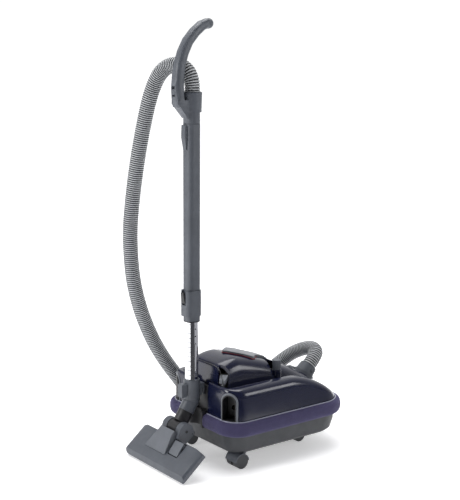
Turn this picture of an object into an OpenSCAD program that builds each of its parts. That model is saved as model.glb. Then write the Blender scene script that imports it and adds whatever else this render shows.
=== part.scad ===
/* [Canister] */
// Length of the canister over the bumper
can_l = 422; // [410:1:434]
// Width of the canister over the bumper
can_w = 326; // [316:1:336]
// Height of the underside above the floor
tub_z = 42; // [40:1:44]
// Height of the seam between tub and upper shell
seam_z = 112; // [110:1:114]
// Height of the lobes of the upper shell
lobe_z = 216; // [212:1:220]
// Highest point of the dome
dome_z = 278; // [272:1:282]
// Wall thickness of the plastic shells
wall = 3; // [2.5:0.1:3.5]

/* [Bumper] */
// Height of the textile bumper
bumper_h = 38; // [34:1:40]
// Thickness of the textile bumper
bumper_t = 17; // [14:1:18]

/* [Castors] */
// Radius of a castor wheel
wheel_r = 19; // [18:0.5:19.5]
// Trail of the wheel axle behind the swivel stem
trail = 9; // [7:1:10]

/* [Wand] */
// Outer diameter of the chrome tube
tube_d = 35; // [34.5:0.1:35.5]
// Width across the flats of the upper tube
sleeve_w = 38.4; // [38:0.1:39]
// Height of the upper tube's lower end above the floor
sleeve_z0 = 383; // [375:1:390]
// Height of the upper tube's upper end above the floor
sleeve_z1 = 893; // [880:1:900]

/* [Floor head] */
// Width of the floor head
head_w = 272; // [262:1:274]
// Depth of the floor head's flat body
head_d = 92; // [88:1:94]
// Tilt of the parked floor head
head_tilt = 40; // [40:1:40]

/* [Hose] */
// Outer diameter of the hose
hose_d = 41; // [40:0.5:42]

/* [Hidden] */
eps = 0.01;
fit = 0.06;

// the row's origin lies under the middle of the whole machine, so the canister stands forward of it
can_y = 71;
// the wand's axis, behind the canister
wand_y = -222;
half_l = can_l / 2;
half_w = can_w / 2;
shell_l = half_l - 17;
shell_w = half_w - 17;
rear_r = 46;
front_r = 72;
seam_gap = 0.4;
shell_z0 = seam_z + seam_gap;

// ---------- general helpers ----------
module can() { translate([0, can_y, 0]) children(); }
module wand() { translate([0, can_y + wand_y, 0]) children(); }

function lerp(a, b, t) = a + (b - a) * t;
function clamp01(t) = min(1, max(0, t));
function smooth(t) = let (u = clamp01(t)) u * u * (3 - 2 * u);

// a polyhedron through rings of equal point counts, closed by a fan round the middle of each end
function middle(ring) = [for (i = [0, 1, 2]) ([for (p = ring) p[i]] * [for (p = ring) 1]) / len(ring)];
module loft(rings) {
  n = len(rings[0]);
  m = len(rings);
  points = concat([for (r = rings) for (p = r) p], [middle(rings[0]), middle(rings[m - 1])]);
  sides = [
    for (i = [0 : m - 2]) for (j = [0 : n - 1])
      let (k = (j + 1) % n)
      each [[i * n + j, (i + 1) * n + j, i * n + k], [i * n + k, (i + 1) * n + j, (i + 1) * n + k]]
  ];
  ends = [
    for (j = [0 : n - 1])
      let (k = (j + 1) % n)
      each [[m * n, j, k], [m * n + 1, (m - 1) * n + k, (m - 1) * n + j]]
  ];
  polyhedron(points, concat(sides, ends));
}

// the outline of the canister in plan, inset by d: straight sides and round corners
function plan_corner(cx, cy, r, a0, n) =
  [for (i = [0 : n]) let (a = a0 + 90 * i / n) [cx + r * cos(a), cy + r * sin(a)]];
function plan_side(a, b, n) = [for (i = [1 : n - 1]) lerp(a, b, i / n)];
function plan(hw, hl, rr, rf, nc = 7, nl = 12, nw = 6) =
  let (
    c1 = plan_corner(hw - rr, -hl + rr, rr, -90, nc),
    c2 = plan_corner(hw - rf, hl - rf, rf, 0, nc),
    c3 = plan_corner(-hw + rf, hl - rf, rf, 90, nc),
    c4 = plan_corner(-hw + rr, -hl + rr, rr, 180, nc)
  )
  concat(
    c1, plan_side(c1[nc], c2[0], nl), c2, plan_side(c2[nc], c3[0], nw),
    c3, plan_side(c3[nc], c4[0], nl), c4, plan_side(c4[nc], c1[0], nw)
  );
module plan_2d(hw, hl, rr, rf) {
  polygon(plan(hw, hl, rr, rf, 8, 1, 1));
}
module slab(hw, hl, rr, rf, z, h = 1) {
  translate([0, 0, z]) linear_extrude(h) plan_2d(hw, hl, rr, rf);
}

// ---------- canister shape ----------
// height of the lobes, of the trough beside the dome and of the dome's ridge along the canister
function lobe_top(y) = lobe_z - 22.5 * pow(max(0, y) / 98, 2);
function trough_top(y) = lobe_top(y) - 14;
function ridge_top(y) =
  y < -118 ? dome_z - 16 * pow((-118 - y) / 64, 2)
  : dome_z - 0.169 * (y + 118) - 0.000777 * pow(y + 118, 2);
// half width of the dome's foot
function dome_w(y) = 81 - 38 * pow(max(0, y) / 150, 1.6);
dome_y0 = -178;
dome_y1 = 150;
dome_front = -16;
lid_rear = 22;

// the foot of the dome, as a ring with as many points as the plan
function dome_foot(p) =
  let (
    reach = (dome_y1 - dome_y0) / 2 * 1.12 / shell_l,
    y = min(dome_y1 + 0.5, max(dome_y0 - 0.5, p[1] * reach + (dome_y0 + dome_y1) / 2))
  )
  [sign(p[0]) * min(abs(p[0]) * 0.67, dome_w(y) + 0.5), y];

// one ring of the upper shell: t runs from the seam edge (0) to the foot of the dome (1)
function shell_ring(t, drop) = [
  for (p = plan(shell_w - drop * (1 - t), shell_l - drop * (1 - t), rear_r, front_r))
    let (
      q = dome_foot(p),
      s = pow(t, 1.7),
      x = lerp(p[0], q[0], s),
      y = lerp(p[1], q[1], s),
      rise = t < 0.62 ? pow(1 - pow(1 - t / 0.62, 2.4), 1 / 2.4) : 1,
      dip = 14 * smooth((t - 0.72) / 0.28)
    )
    [x, y, lerp(shell_z0 + 14, max(lobe_top(y), shell_z0 + 16), rise) - dip - drop]
];
shell_steps = [0, 0.03, 0.08, 0.16, 0.27, 0.4, 0.53, 0.66, 0.8, 0.9, 1];
function shell_foot(drop) =
  [for (p = plan(shell_w - drop, shell_l - drop, rear_r, front_r)) [p[0], p[1], shell_z0]];
module shell_form(drop) {
  loft(concat([shell_foot(drop)], [for (t = shell_steps) shell_ring(t, drop)]));
}
// rings joined from the last back to the first make a closed skin with a hole in the middle
module loft_skin(rings) {
  n = len(rings[0]);
  m = len(rings);
  points = [for (r = rings) for (p = r) p];
  polyhedron(points, [
    for (i = [0 : m - 1]) for (j = [0 : n - 1])
      let (k = (j + 1) % n, h = (i + 1) % m)
      each [[i * n + j, h * n + j, i * n + k], [i * n + k, h * n + j, h * n + k]]
  ]);
}
module shell_skin() {
  loft_skin(concat(
    [shell_foot(0)],
    [for (t = shell_steps) shell_ring(t, 0)],
    [for (k = [len(shell_steps) - 1 : -1 : 0]) shell_ring(shell_steps[k], wall)],
    [shell_foot(wall)]
  ));
}

// one ring of the dome at y, counted over the arch from the right foot to the left foot
function dome_ring(y, inset) =
  let (
    w = dome_w(y) - inset,
    foot = trough_top(y) - 12,
    top = ridge_top(y) - inset,
    t = trough_top(y) - 12
  )
  concat(
    [for (i = [0 : 22]) let (a = 180 * i / 22) [
      w * sign(cos(a)) * pow(abs(cos(a)), 1 / 3),
      y,
      t + (top - t) * pow(max(0, sin(a)), 0.9)
    ]],
    [[-w / 2, y, foot - 1], [w / 2, y, foot - 1]]
  );
// rings that round the rear rim over the first millimetres
dome_ys = [-178, -173, -168, -155, -140, -125, -110, -95, -80, -65, -50, -34, -19, -16, 0, 10, 21, 22, 36, 50, 65, 80,
  95, 110, 122, 136, 150];
function rim_inset(y) = y < -176 ? 6 : y < -168 ? 1.5 : 0;
module dome_form(inset, y0 = -200, y1 = 200) {
  loft([for (k = [len(dome_ys) - 1 : -1 : 0]) if (dome_ys[k] >= y0 && dome_ys[k] <= y1)
    dome_ring(dome_ys[k], inset + rim_inset(dome_ys[k]))]);
}
module slice_y(y0, y1) {
  translate([-200, y0, 0]) cube([400, y1 - y0, 400]);
}

// the arch openings in the rear corners: position, turn and size
arch_x = 115;
arch_y = -182;
arch_turn = 29;
arch_w = 50;
arch_z0 = 131;
arch_z1 = 208;
module at_arch(side) {
  mirror([side < 0 ? 1 : 0, 0, 0])
    translate([arch_x, arch_y, 0]) rotate([0, 0, arch_turn]) children();
}
module arch_2d(w, z0, z1) {
  translate([0, z1 - w / 2]) circle(w / 2, $fn = 40);
  translate([-w / 2, z0]) square([w, z1 - w / 2 - z0]);
}
module arch_block(w, z0, z1, y0, y1) {
  translate([0, y1, 0]) rotate([90, 0, 0]) linear_extrude(y1 - y0) arch_2d(w, z0, z1);
}

// the wand's parking slot in the rear wall
slot_w = 67.3;
slot_z0 = 126;

// the hose inlet on the sloping front
inlet_y = 164;
inlet_z = 166;
inlet_tilt = -42;
module at_inlet() { translate([0, inlet_y, inlet_z]) rotate([inlet_tilt, 0, 0]) children(); }

knob_x = 74;
knob_y = 6;
// the castors' swivels: the rear pair stands wide, the front pair close together
rear_castor = [112, -146];
front_castor = [45, 108];

// ---------- canister casing ----------
module lower_tub() {
  color("dimgray") can() difference() {
    union() {
      difference() {
        tub_outer();
        tub_inner();
      }
      for (sx = [-1, 1]) for (at = [rear_castor, front_castor])
        translate([sx * at[0], at[1], tub_z]) cylinder(h = 24, r = 11, $fn = 32);
      // the flat pad in the middle of the underside
      translate([0, -20, tub_z - 2]) linear_extrude(4) rounded_2d(130, 150, 14);
      translate([-100, -22, tub_z + 1]) cube([200, 3, 68]);
    }
    for (sx = [-1, 1]) for (at = [rear_castor, front_castor])
      translate([sx * at[0], at[1], tub_z - 1]) cylinder(h = 22, r = 5 + fit, $fn = 32);
  }
}
bumper_z0 = seam_z - bumper_h / 2;
module tub_outer() {
  hull() {
    slab(shell_w - 8, shell_l - 9, rear_r - 4, front_r - 4, tub_z + 7, 0.5);
    slab(shell_w - 16, shell_l - 18, rear_r - 10, front_r - 10, tub_z, 0.5);
    slab(shell_w - 2.5, shell_l - 2.5, rear_r, front_r, tub_z + 30, 0.5);
    slab(shell_w, shell_l, rear_r, front_r, seam_z - 0.5, 0.5);
  }
}
module tub_inner() {
  hull() {
    translate([0, 0, wall]) slab(shell_w - 19, shell_l - 21, rear_r - 12, front_r - 12, tub_z, 0.5);
    slab(shell_w - 11, shell_l - 12, rear_r - 6, front_r - 6, tub_z + 9, 0.5);
    slab(shell_w - wall, shell_l - wall, rear_r, front_r, seam_z, 1);
  }
}

// the textile bumper runs round the canister and stops at the parking bracket
module bumper_section() {
  polygon(concat(
    [for (i = [0 : 16]) let (a = -90 + 180 * i / 16)
      [0.2 + (bumper_t - 0.2) * pow(max(0, cos(a)), 0.62), bumper_h / 2 * sign(sin(a)) * pow(abs(sin(a)), 0.86)]],
    []
  ));
}
module bumper_corner(cx, cy, r, a0) {
  translate([cx, cy, seam_z]) rotate_extrude(angle = 90, start = a0, $fn = 96)
    translate([r, 0]) bumper_section();
}
module bumper_run(x, y, turn, length) {
  translate([x, y, seam_z]) rotate([0, 0, turn]) rotate([90, 0, 0])
    linear_extrude(length) bumper_section();
}
bumper_gap = 32;
module bumper() {
  w = shell_w;
  l = shell_l;
  color("slateblue") can() {
    bumper_corner(w - rear_r, -l + rear_r, rear_r, -90);
    bumper_corner(w - front_r, l - front_r, front_r, 0);
    bumper_corner(-w + front_r, l - front_r, front_r, 90);
    bumper_corner(-w + rear_r, -l + rear_r, rear_r, 180);
    bumper_run(w, l - front_r, 0, 2 * l - rear_r - front_r);
    bumper_run(-w, -l + rear_r, 180, 2 * l - rear_r - front_r);
    bumper_run(-w + front_r, l, 90, 2 * w - 2 * front_r);
    bumper_run(w - rear_r, -l, -90, w - rear_r - bumper_gap);
    bumper_run(-bumper_gap, -l, -90, w - rear_r - bumper_gap);
  }
}

module upper_shell() {
  color("midnightblue") can() difference() {
    shell_skin();
    translate([-slot_w / 2, -shell_l - 5, slot_z0]) cube([slot_w, 30, 120]);
    for (side = [-1, 1]) at_arch(side) arch_block(arch_w, arch_z0, arch_z1, -40, 30);
    at_inlet() translate([0, 0, -30]) cylinder(h = 60, r = 31, $fn = 64);
    translate([knob_x, knob_y, 150]) cylinder(h = 120, r = 13.3, $fn = 48);
  }
}

module dome_cover() {
  color("midnightblue") can() difference() {
    union() {
      difference() {
        dome_form(0, -200, lid_rear - 1);
        translate([0, 0, -5]) dome_form(wall, -173, dome_front - wall);
        // the finger trench under the carry handle
        translate([-120, dome_front, trench_z]) cube([240, 100, 100]);
        translate([-60, dome_front - wall - eps, 100]) cube([120, 50, trench_z - wall - 100]);
        translate([knob_x, knob_y, 100]) cylinder(h = 200, r = 13.3, $fn = 48);
        for (side = [-1, 1]) pedal_well(side);
      }
      // lugs that carry the handle's and the lid's pins
      for (sx = [-1, 1]) {
        translate([sx * 26 - 4, pin_y - 5.5, trench_z - 1]) cube([8, 11, pin_z - trench_z + 1]);
        translate([sx * 26 - 4, pin_y, pin_z]) rotate([0, 90, 0]) cylinder(h = 8, r = 5.5, $fn = 48);
        translate([sx * 49 - 3, lid_rear - 6, trench_z - 3]) cube([6, 14.4, 5]);
        translate([sx * 49 - 3, lid_pin_y - 3.6, trench_z - 3]) cube([6, 7.2, lid_pin_z - trench_z + 3]);
        translate([sx * 49 - 3, lid_pin_y, lid_pin_z]) rotate([0, 90, 0]) cylinder(h = 6, r = 3.6, $fn = 32);
      }
    }
    translate([-40, pin_y, pin_z]) rotate([0, 90, 0]) cylinder(h = 80, r = 2.5, $fn = 32);
    translate([-60, lid_pin_y, lid_pin_z]) rotate([0, 90, 0]) cylinder(h = 120, r = 1.6, $fn = 32);
  }
}
trench_z = 214;
// the carry handle's pin
pin_y = 6;
pin_z = 241;
// the bag lid's pins
lid_pin_y = 27;
lid_pin_z = 226;

// the bridge over the finger trench, with a leaf-shaped root on the dome
module carry_handle() {
  color("silver") can() difference() {
    union() {
      difference() {
        intersection() {
          dome_form(-7);
          translate([0, 0, 200]) linear_extrude(100) leaf_2d(0);
        }
        dome_form(-0.3, -200, dome_front);
        translate([-100, dome_front - eps, 190]) cube([200, 60, 46]);
        translate([-100, dome_front - 1, 190]) cube([200, 2.7, 62.2]);
      }
      translate([-21.6, pin_y, pin_z]) rotate([0, 90, 0]) cylinder(h = 43.2, r = 8, $fn = 48);
    }
    translate([-40, pin_y, pin_z]) rotate([0, 90, 0]) cylinder(h = 80, r = 2.5 + fit, $fn = 32);
  }
}
module leaf_2d(inset) {
  polygon([
    [0, -122 + inset], [20 - inset, -104], [40 - inset, -82], [56 - inset, -62], [52 - inset, -52],
    [34 - inset, -40], [26 - inset, -24], [21.6 - inset, -8], [21.6 - inset, 6],
    [-21.6 + inset, 6], [-21.6 + inset, -8], [-26 + inset, -24], [-34 + inset, -40],
    [-52 + inset, -52], [-56 + inset, -62], [-40 + inset, -82], [-20 + inset, -104]
  ]);
}

// the parking bracket lines the slot and fills the gap in the bumper
module park_bracket() {
  y0 = -half_l + 1;
  y1 = -shell_l + 14.6;
  color("black") can() difference() {
    union() {
      translate([-slot_w / 2 + 0.4, -shell_l, slot_z0 + 0.4]) cube([slot_w - 0.8, 13.6, 78]);
      translate([-bumper_gap + 0.6, y0, bumper_z0]) cube([2 * bumper_gap - 1.2, half_l - 1.2 - shell_l, bumper_h + 8]);
    }
    translate([-slot_w / 2 + 4, y0 - 1, slot_z0 + 14]) cube([slot_w - 8, 21, 100]);
    translate([-14, y0 - 1, slot_z0 + 10]) cube([28, 23, 100]);
    translate([0, wand_y, 0]) cylinder(h = 300, r = 26, $fn = 64);
  }
}

module arch_trims() {
  color("slategray") can() for (side = [-1, 1]) intersection() {
    at_arch(side) difference() {
      arch_block(arch_w - 0.6, arch_z0 + 0.3, arch_z1 - 0.3, -30, 12);
      arch_block(arch_w - 9, arch_z0 - 8, arch_z1 - 5, -50, 30);
    }
    translate([0, 0, 4]) shell_form(-1.6);
  }
}

module cord_outlet_pocket() {
  color("black") can() at_arch(1) difference() {
    arch_block(arch_w - 9.8, arch_z0 + 0.8, arch_z1 - 5.4, -8, 30);
    arch_block(arch_w - 15, arch_z0 + 3.4, arch_z1 - 8, -9, 27);
    translate([0, 20, arch_z0 + 28]) rotate([-90, 0, 0]) cylinder(h = 20, r = 7, $fn = 32);
  }
}
module exhaust_grille() {
  color("black") can() at_arch(-1) difference() {
    arch_block(arch_w - 9.8, arch_z0 + 0.8, arch_z1 - 5.4, -8, 8);
    for (i = [0 : 6]) translate([-13, -9, arch_z0 + 9 + i * 8]) cube([26, 20, 4]);
  }
}

// ---------- suction path ----------
module inlet_collar() {
  color("darkslategray") can() at_inlet() difference() {
    union() {
      translate([0, 0, -24]) cylinder(h = 28, r = 30, $fn = 64);
      translate([0, 0, -5]) cylinder(h = 12, r = 30.6, $fn = 64);
    }
    translate([0, 0, -30]) cylinder(h = 50, r = 24 + fit, $fn = 64);
  }
}
module hose_cuff() {
  color("dimgray") can() at_inlet() difference() {
    union() {
      translate([0, 0, -22]) cylinder(h = 34, r = 24, $fn = 64);
      translate([0, 0, 7.4]) cylinder(h = 24, r1 = 27, r2 = 24, $fn = 64);
      for (s = [-1, 1]) translate([s * 25, 0, 20]) rotate([0, 90, 0])
        translate([0, 0, -4]) cylinder(h = 8, r = 6, $fn = 32);
    }
    translate([0, 0, -30]) cylinder(h = 90, r = hose_d / 2 + 0.6, $fn = 64);
  }
}
module bag_holder() {
  color("tan") can() difference() {
    translate([-58, 112, 69]) rotate([-8, 0, 0]) cube([116, 3, 79]);
    translate([0, 108, 104]) rotate([-90, 0, 0]) cylinder(h = 30, r = 20, $fn = 48);
  }
}
module dust_bag() {
  color("beige") can() translate([0, 96, 106]) rotate([90, 0, 0])
    linear_extrude(98) rounded_2d(120, 92, 22);
}
module premotor_filter() {
  color("white") can() translate([-96, -18.5, tub_z + 8]) cube([92, 6, 58]);
}

// ---------- motor, reel and electronics ----------
motor_x = -44;
motor_z = 106;
module at_motor(y) { translate([motor_x, y, motor_z]) rotate([90, 0, 0]) children(); }
module motor_housing() {
  color("gainsboro") can() difference() {
    union() {
      at_motor(-40) cylinder(h = 114, r = 58, $fn = 72);
      translate([motor_x - 40, -150, tub_z + wall + 0.4]) cube([80, 106, 20]);
    }
    at_motor(-43) cylinder(h = 108, r = 55, $fn = 72);
    at_motor(-30) cylinder(h = 30, r = 24, $fn = 48);
    at_motor(-149) cylinder(h = 10, r = 40, $fn = 48);
  }
}
module motor_stator() {
  color("darkgray") can() at_motor(-82) difference() {
    union() {
      cylinder(h = 52, r = 44, $fn = 64);
      translate([0, 0, 46]) cylinder(h = 4, r = 54.6, $fn = 64);
    }
    translate([0, 0, -1]) cylinder(h = 60, r = 4 + fit, $fn = 32);
  }
}
module motor_fan() {
  color("lightgray") can() at_motor(-52) {
    difference() {
      union() {
        translate([0, 0, -4]) cylinder(h = 90, r = 4, $fn = 32);
        translate([0, 0, 3]) cylinder(h = 2, r = 50, $fn = 64);
        translate([0, 0, 20]) cylinder(h = 2, r = 50, $fn = 64);
        for (a = [0 : 40 : 320]) rotate([0, 0, a]) translate([18, -1, 4]) cube([30, 2, 17]);
      }
      translate([0, 0, 2]) difference() {
        cylinder(h = 4, r = 20, $fn = 48);
        translate([0, 0, -1]) cylinder(h = 6, r = 9, $fn = 32);
      }
    }
  }
}
module motor_seal() {
  color("black") can() at_motor(-30) difference() {
    cylinder(h = 9.6, r = 40, $fn = 64);
    translate([0, 0, -1]) cylinder(h = 12, r = 24, $fn = 64);
  }
}
module exhaust_filter() {
  color("white") can() translate([-58, -160, 176]) cube([112, 120, 22]);
}
reel_x = 66;
reel_y = -98;
reel_z = 110;
module reel_drum() {
  color("white") can() translate([reel_x, reel_y, reel_z]) rotate([0, 90, 0]) difference() {
    union() {
      cylinder(h = 2.5, r = 56, $fn = 72);
      translate([0, 0, 35.5]) cylinder(h = 2.5, r = 56, $fn = 72);
      cylinder(h = 38, r = 26, $fn = 64);
    }
    translate([0, 0, -1]) cylinder(h = 40, r = 5 + fit, $fn = 32);
  }
}
module reel_axle() {
  color("silver") can() union() {
    translate([reel_x - 10, reel_y, reel_z]) rotate([0, 90, 0]) cylinder(h = 60, r = 5, $fn = 32);
    translate([reel_x + 50, reel_y - 9, tub_z + wall + 0.4])
      cube([4, 18, reel_z - tub_z - wall + 8]);
  }
}
module control_board() {
  color("darkgreen") can() translate([66, -14, 62]) {
    cube([64, 1.6, 60]);
    translate([8, 1.6, 10]) cube([16, 12, 20]);
    translate([36, 1.6, 20]) cube([12, 18, 12]);
  }
}

// ---------- controls on the canister ----------
pedal_x = 66;
pedal_y = -166;
pedal_turn = 35;
pedal_travel = 6;
module at_pedal(side) {
  mirror([side < 0 ? 1 : 0, 0, 0])
    translate([pedal_x, pedal_y, 0]) rotate([0, 0, pedal_turn]) children();
}
module pedal_well(side) {
  at_pedal(side) translate([-13.5, -30, 200]) cube([27, 36, 100]);
}
module pedal_plate() {
  difference() {
    hull() {
      translate([-8, -13, 219]) cube([16, 1, 10]);
      translate([-11, 3.4, 222]) cube([22, 1, 18]);
    }
    translate([-6.6, -10.4, 216]) cube([13.2, 13, 8]);
  }
  translate([0, -3, 204]) cylinder(h = 26, r = 3, $fn = 32);
}
module power_pedal() { color("silver") can() at_pedal(1) pedal_plate(); }
module rewind_pedal() { color("silver") can() at_pedal(-1) pedal_plate(); }
module pedal_springs() {
  color("gray") can() for (side = [-1, 1]) at_pedal(side) translate([0, -3, 206.4]) {
    for (i = [0 : 3]) translate([0, 0, i * 3])
      rotate_extrude($fn = 32) translate([4.6, 0]) circle(0.7, $fn = 16);
  }
}
module suction_knob() {
  color("dimgray") can() translate([knob_x, knob_y, 0]) difference() {
    union() {
      translate([0, 0, 227.4]) cylinder(h = 27, r = 11.5, $fn = 48);
      translate([0, 0, 190]) cylinder(h = 40, r = 4, $fn = 32);
    }
    for (a = [0 : 30 : 330]) rotate([0, 0, a]) translate([12.2, 0, 226])
      cylinder(h = 26, r = 1.4, $fn = 16);
  }
}
module knob_pillar() {
  color("midnightblue") can() translate([knob_x, knob_y, 186]) difference() {
    cylinder(h = 41, r = 12.6, $fn = 48);
    translate([0, 0, -1]) cylinder(h = 50, r = 4 + fit, $fn = 32);
  }
}

// ---------- lid ----------
module bag_lid() {
  color("midnightblue") can() difference() {
    union() {
      difference() {
        dome_form(0, lid_rear, 200);
        translate([0, 0, -1]) dome_form(wall, lid_rear - 2, dome_y1 - 4);
      }
      for (sx = [-1, 1]) {
        translate([sx * 40 - 5, lid_pin_y, lid_pin_z]) rotate([0, 90, 0]) cylinder(h = 10, r = 4.4, $fn = 32);
        translate([sx * 40 - 5, lid_pin_y - 3, lid_pin_z]) cube([10, 6, 9.4]);
      }
    }
    translate([-60, lid_pin_y, lid_pin_z]) rotate([0, 90, 0]) cylinder(h = 120, r = 1.6 + fit, $fn = 32);
    at_inlet() translate([0, 0, -40]) cylinder(h = 90, r = 33, $fn = 64);
    rotate([90, 0, 90]) translate([0, 0, -120]) linear_extrude(240)
      polygon(concat([[15, 100]], [for (y = [15 : 9 : 159]) [y, trough_top(y) + 0.5]], [[159, 100]]));
    translate([-13.4, 115.6, 170]) cube([26.8, 10.8, 60]);
  }
}
module hinge_pins() {
  color("silver") can() {
    for (sx = [-1, 1]) translate([sx * 43 - 9, lid_pin_y, lid_pin_z]) rotate([0, 90, 0])
      cylinder(h = 18, r = 1.6, $fn = 32);
    translate([-30, pin_y, pin_z]) rotate([0, 90, 0]) cylinder(h = 60, r = 2.5, $fn = 32);
  }
}
module lid_latch() {
  color("dimgray") can() translate([-13, 116, ridge_top(118) - 1.5]) cube([26, 10, 5]);
}

// ---------- castors ----------
module at_castor(sx, at) { can() translate([sx * at[0], at[1], 0]) children(); }
module castor_hood() {
  difference() {
    union() {
      translate([0, 0, 30]) cylinder(h = 30, r = 5, $fn = 32);
      translate([0, 0, 37]) cylinder(h = 4.4, r = 17, $fn = 48);
      intersection() {
        translate([0, -trail, wheel_r]) rotate([0, 90, 0])
          translate([0, 0, -23]) cylinder(h = 46, r = wheel_r + 3, $fn = 48);
        translate([-30, -50, 20]) cube([60, 100, 30]);
      }
      translate([-3, -trail - 12, 10]) cube([6, 24, 26]);
    }
    for (sx = [-1, 1]) translate([sx * 13 - 10.6, -trail, wheel_r]) rotate([0, 90, 0])
      cylinder(h = 21.2, r = wheel_r + 0.8, $fn = 48);
    translate([-5, -trail, wheel_r]) rotate([0, 90, 0]) cylinder(h = 10, r = 3 + fit, $fn = 32);
  }
}
module castor_wheels() {
  translate([-22, -trail, wheel_r]) rotate([0, 90, 0]) {
    cylinder(h = 18, r = wheel_r, $fn = 48);
    translate([0, 0, 26]) cylinder(h = 18, r = wheel_r, $fn = 48);
    cylinder(h = 44, r = 3, $fn = 32);
  }
}
module castor_hood_rl() { color("gray") at_castor(-1, rear_castor) castor_hood(); }
module castor_hood_rr() { color("gray") at_castor(1, rear_castor) castor_hood(); }
module castor_hood_fl() { color("gray") at_castor(-1, front_castor) castor_hood(); }
module castor_hood_fr() { color("gray") at_castor(1, front_castor) castor_hood(); }
module castor_wheels_rl() { color("dimgray") at_castor(-1, rear_castor) castor_wheels(); }
module castor_wheels_rr() { color("dimgray") at_castor(1, rear_castor) castor_wheels(); }
module castor_wheels_fl() { color("dimgray") at_castor(-1, front_castor) castor_wheels(); }
module castor_wheels_fr() { color("dimgray") at_castor(1, front_castor) castor_wheels(); }

// ---------- hose ----------
// the hose's route from the handle to the inlet, in the row's frame
hose_route = [
  [0, -149, 968], [0, -149, 986], [-3, -150, 1003], [-12, -153, 1020], [-29, -158, 1033], [-52, -165, 1038],
  [-77, -173, 1032], [-99, -181, 1014], [-116, -188, 984], [-130, -195, 942], [-143, -202, 885], [-155, -209, 820],
  [-166, -215, 750], [-176, -219, 680], [-184, -221, 610], [-190, -217, 540], [-194, -208, 470], [-195, -193, 405],
  [-195, -170, 340], [-195, -139, 275], [-195, -101, 215], [-194, -60, 160], [-194, -18, 106], [-194, 22, 62],
  [-194, 62, 33], [-193, 102, 23], [-191, 142, 30], [-191, 180, 50], [-188, 212, 80], [-179, 239, 112],
  [-163, 259, 143], [-136, 270, 170], [-111, 284, 193], [-84, 295, 210], [-56, 302, 221], [-32, 302, 224],
  [-13, 294, 219], [-3, 278, 208], [0, 262, 195], [0, 247, 180]
];
function unit(v) = v / norm(v);
function tangent(p, i) = unit(p[min(i + 1, len(p) - 1)] - p[max(i - 1, 0)]);
function carried(p, i) =
  i == 0 ? [1, 0, 0]
  : let (before = carried(p, i - 1), t = tangent(p, i)) unit(before - (before * t) * t);
function tube_ring(p, i, r, n) =
  let (t = tangent(p, i), u = carried(p, i), v = cross(t, u))
  [for (k = [0 : n - 1]) let (a = -360 * k / n) p[i] + r * (cos(a) * u + sin(a) * v)];
module tube_along(p, r, n) {
  loft([for (i = [0 : len(p) - 1]) tube_ring(p, i, r, n)]);
}
module hose() { color("silver") tube_along(hose_route, hose_d / 2, 12); }

// ---------- upper wand ----------
module rounded_bar(w, r, h) {
  linear_extrude(h) rounded_2d(w, w, r);
}
module rounded_2d(a, b, r) {
  union() {
    square([a - 2 * r, b], center = true);
    square([a, b - 2 * r], center = true);
    for (sx = [-1, 1]) for (sy = [-1, 1])
      translate([sx * (a / 2 - r), sy * (b / 2 - r)]) circle(r, $fn = 32);
  }
}
module upper_tube() {
  color("slategray") wand() difference() {
    translate([0, 0, sleeve_z0]) rounded_bar(sleeve_w, 13, sleeve_z1 - sleeve_z0);
    translate([0, 0, sleeve_z0 - 1]) cylinder(h = sleeve_z1, r = tube_d / 2 + 0.9, $fn = 64);
  }
}
module tube_bushing() {
  color("black") wand() translate([0, 0, sleeve_z0 - 3]) difference() {
    union() {
      cylinder(h = 26, r = tube_d / 2 + 0.9, $fn = 64);
      rounded_bar(sleeve_w, 13, 3);
    }
    translate([0, 0, -1]) cylinder(h = 30, r = tube_d / 2 + fit, $fn = 64);
  }
}
// the length clip wraps the lower end of the upper tube
module clip_housing() {
  color("dimgray") wand() translate([0, 0, 396]) difference() {
    union() {
      translate([0, -2, 0]) linear_extrude(68) rounded_2d(43, 47, 14);
      translate([0, 18, 4]) linear_extrude(60) rounded_2d(20, 14, 5);
    }
    translate([0, 0, -1]) linear_extrude(80) rounded_2d(sleeve_w + 0.4, sleeve_w + 0.4, 13.2);
    translate([-8.4, -40, 30]) cube([16.8, 25, 40]);
  }
}
module clip_button() {
  color("black") wand() translate([-8, -27.6, 431]) hull() {
    cube([16, 7, 20]);
    translate([2, -3, 22]) cube([12, 9, 6]);
  }
}
module wand_latch() {
  color("dimgray") wand() hull() {
    translate([-8, -26, sleeve_z1 - 10]) cube([16, 6, 7]);
    translate([-8, -27, sleeve_z1 - 34]) cube([16, 7, 10]);
    translate([-7, -21.5, sleeve_z1 - 66]) cube([14, 1.6, 4]);
  }
}

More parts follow.
